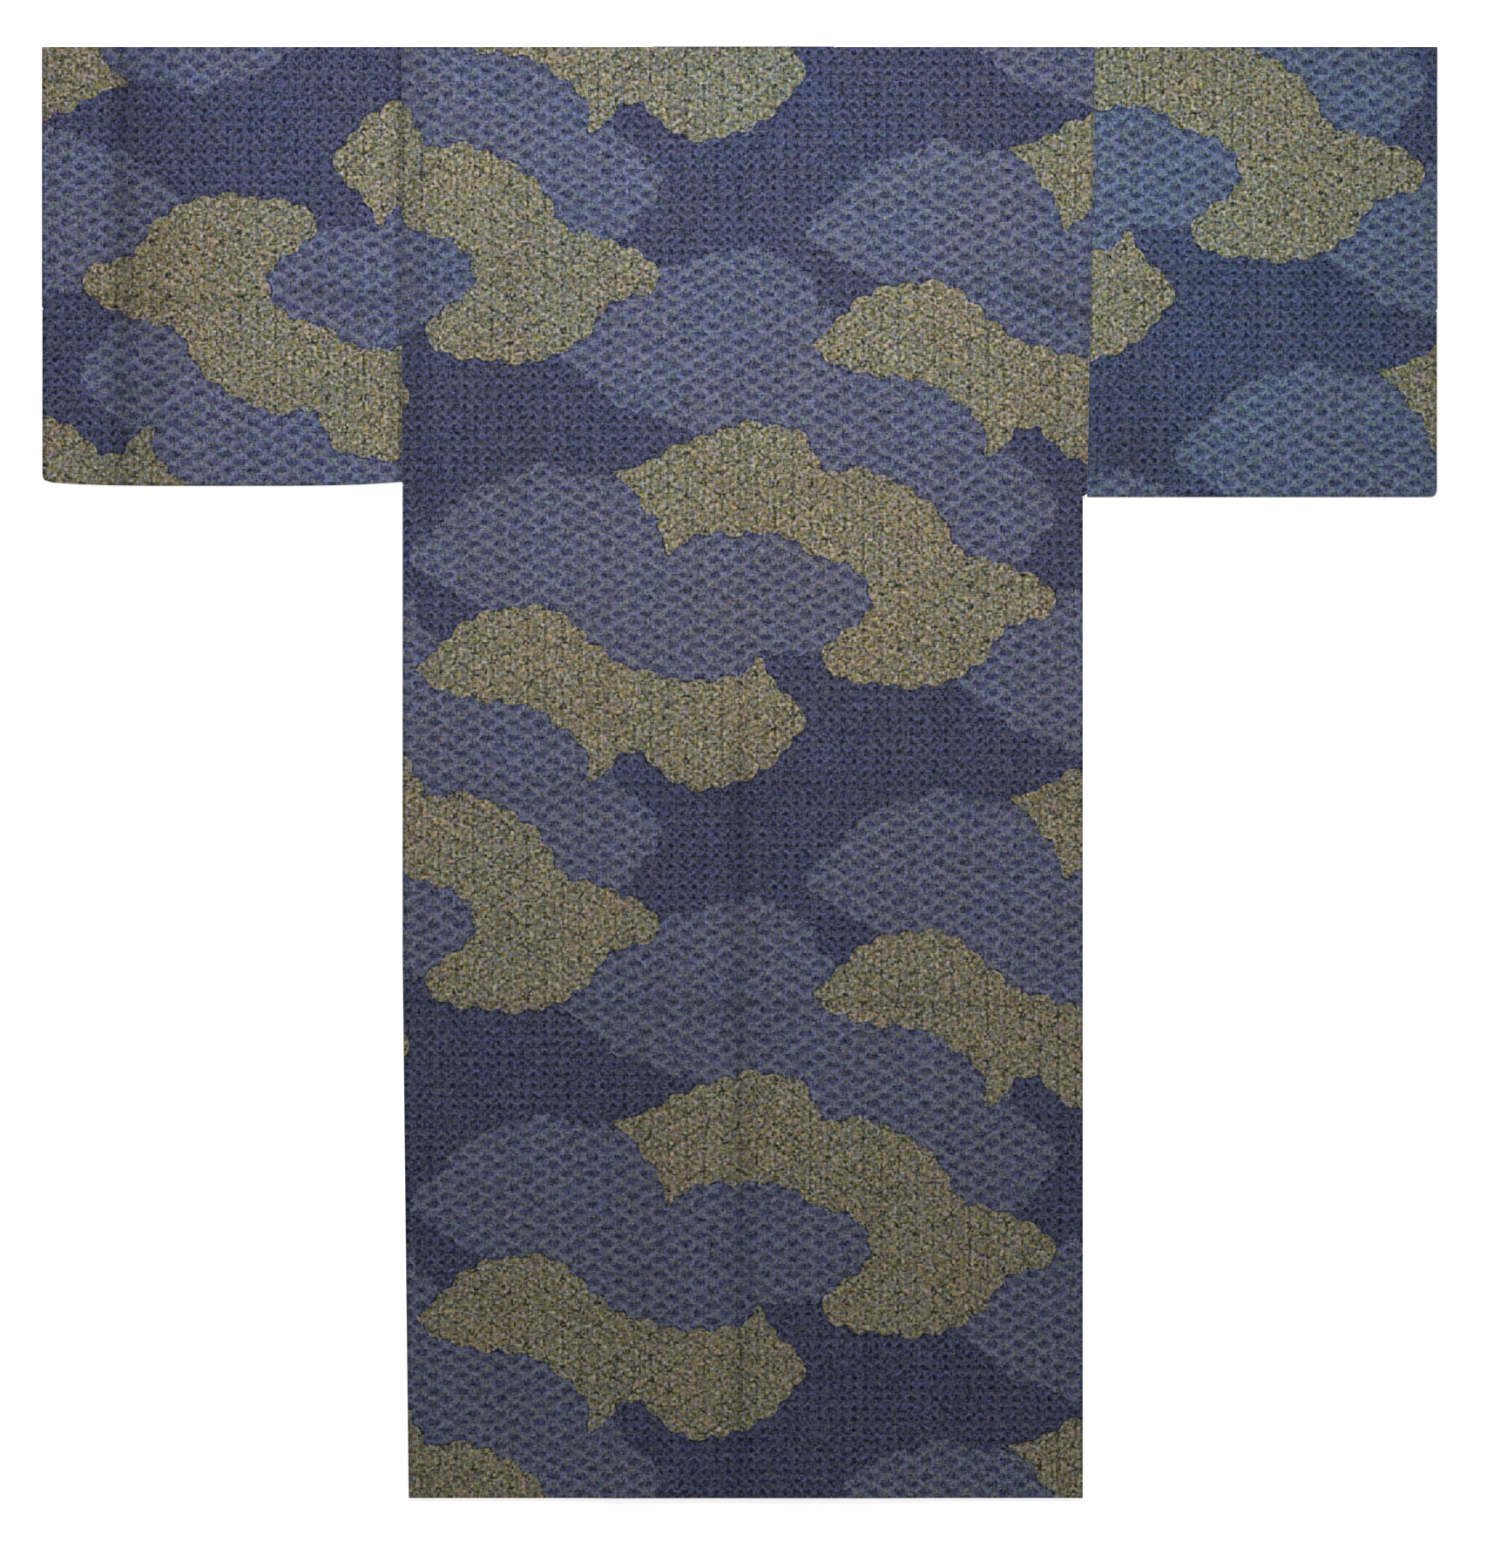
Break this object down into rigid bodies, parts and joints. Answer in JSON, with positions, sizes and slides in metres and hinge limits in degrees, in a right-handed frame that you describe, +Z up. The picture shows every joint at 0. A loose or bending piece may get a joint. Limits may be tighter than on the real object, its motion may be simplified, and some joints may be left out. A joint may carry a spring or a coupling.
{
  "type": "cotton yukata robe laid flat, back up",
  "caption": "Unlined cotton summer robe laid flat on its face, with square sleeves, overlap panels, a long band collar and a blue and olive cloud pattern.",
  "frame": {"origin": "on the floor, under the middle of the robe's bounding box", "axes": "+Y from the hem towards the shoulders, +X towards the wearer's right sleeve, +Z up out of the robe's back"},
  "size_m": [1.3654, 1.4202, 0.0086],
  "materials": {
    "cloud_cotton": "matte woven cotton, navy ground with grey-blue and olive clouds",
    "collar_cotton": "matte woven cotton, folded double, of the same pattern"
  },
  "bodies": {
    "root": {"body_left": "cloud_cotton", "body_right": "cloud_cotton", "sleeve_left": "cloud_cotton", "sleeve_right": "cloud_cotton", "okumi_left": "cloud_cotton", "okumi_right": "cloud_cotton", "collar": "collar_cotton"}
  },
  "joints": []
}
